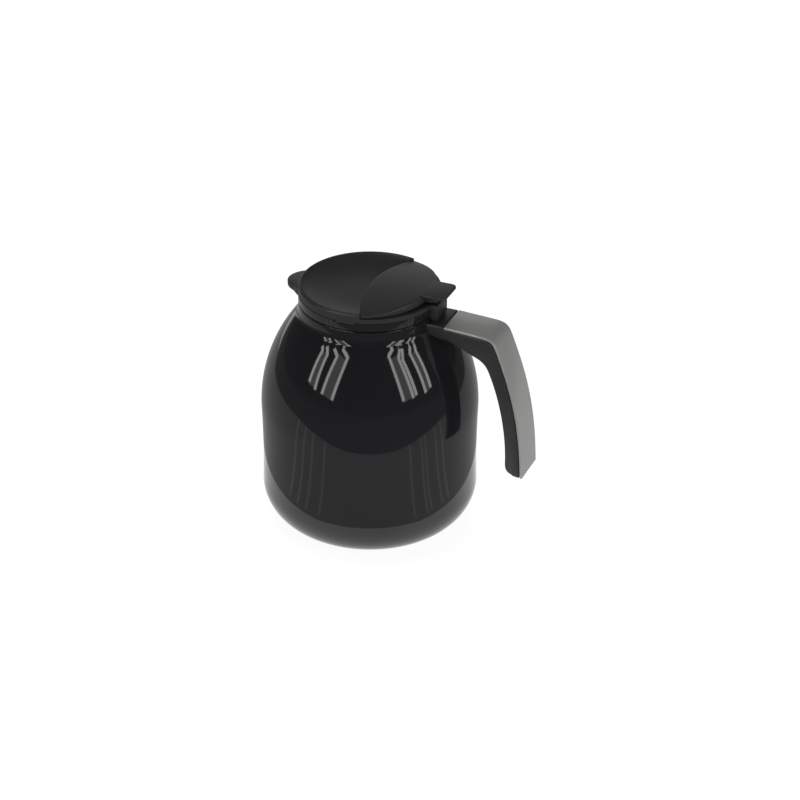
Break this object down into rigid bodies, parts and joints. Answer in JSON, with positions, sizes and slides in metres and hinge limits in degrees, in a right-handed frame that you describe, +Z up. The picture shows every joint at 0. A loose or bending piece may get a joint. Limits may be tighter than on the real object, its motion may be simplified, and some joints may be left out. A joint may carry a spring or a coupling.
{
  "type": "thermal coffee jug",
  "caption": "Bulbous thermal coffee jug with a glass vacuum flask, open-ended side handle, pouring beak and a plug lid whose thumb lever lifts a valve.",
  "frame": {"origin": "middle of the underside, in the plane it stands on", "axes": "+Z up, +X towards the handle, -X towards the pouring beak, Y across the jug"},
  "size_m": [0.1928, 0.15, 0.1831],
  "materials": {
    "gloss_black": "high gloss black",
    "charcoal": "fine matte texture",
    "satin_black": "satin",
    "silver": "satin silver lacquer",
    "inner_plastic": "plain moulded black",
    "silvered_glass": "silvered inside the double wall",
    "silicone": "matte silicone",
    "steel": "plain stainless steel",
    "cork": "pressed cork"
  },
  "bodies": {
    "jug": {"outer_shell": "gloss_black", "base_cap": "inner_plastic", "base_foot_ring": "silicone", "flask_cushion": "silicone", "vacuum_flask": "silvered_glass", "flask_seal_tip": "silvered_glass", "flask_spacer_1": "cork", "flask_spacer_2": "cork", "flask_spacer_3": "cork", "neck_gasket": "silicone", "neck_ring": "inner_plastic", "handle_grip": "satin_black", "handle_trim": "silver", "handle_screw_1": "steel", "handle_screw_2": "steel"},
    "lid_carrier": {"lid_seal": "silicone"},
    "lid": {"lid_cover": "charcoal", "lid_band": "gloss_black", "lid_plug": "inner_plastic", "lid_screw_1": "steel", "lid_screw_2": "steel", "lid_screw_3": "steel", "lever_pin": "steel", "valve_spring": "steel"},
    "lever": {"pour_lever": "charcoal"},
    "valve": {"valve_stem": "inner_plastic", "valve_disc": "inner_plastic", "valve_seal": "silicone", "stem_clip": "steel"}
  },
  "joints": [
    {"name": "lid_lift", "type": "slide", "parent": "jug", "child": "lid_carrier", "axis": [0, 0, 1], "range_m": [0, 0.06]},
    {"name": "lid_turn", "type": "hinge", "parent": "lid_carrier", "child": "lid", "pos_m": [0, 0, 0.166], "axis": [0, 0, 1], "range_deg": [0, 60]},
    {"name": "lever_press", "type": "hinge", "parent": "lid", "child": "lever", "pos_m": [0.036, 0, 0.176], "axis": [0, 1, 0], "range_deg": [0, 8], "stiffness_Nm_per_rad": 0.15, "springref_deg": -8.02},
    {"name": "valve_lift", "type": "slide", "parent": "lid", "child": "valve", "axis": [0, 0, 1], "range_m": [0, 0.0044], "deforming": ["valve_spring"]}
  ],
  "couplings": [
    {"joint": "lever_press", "follows": "valve_lift", "rad_per_m": 31.646}
  ]
}
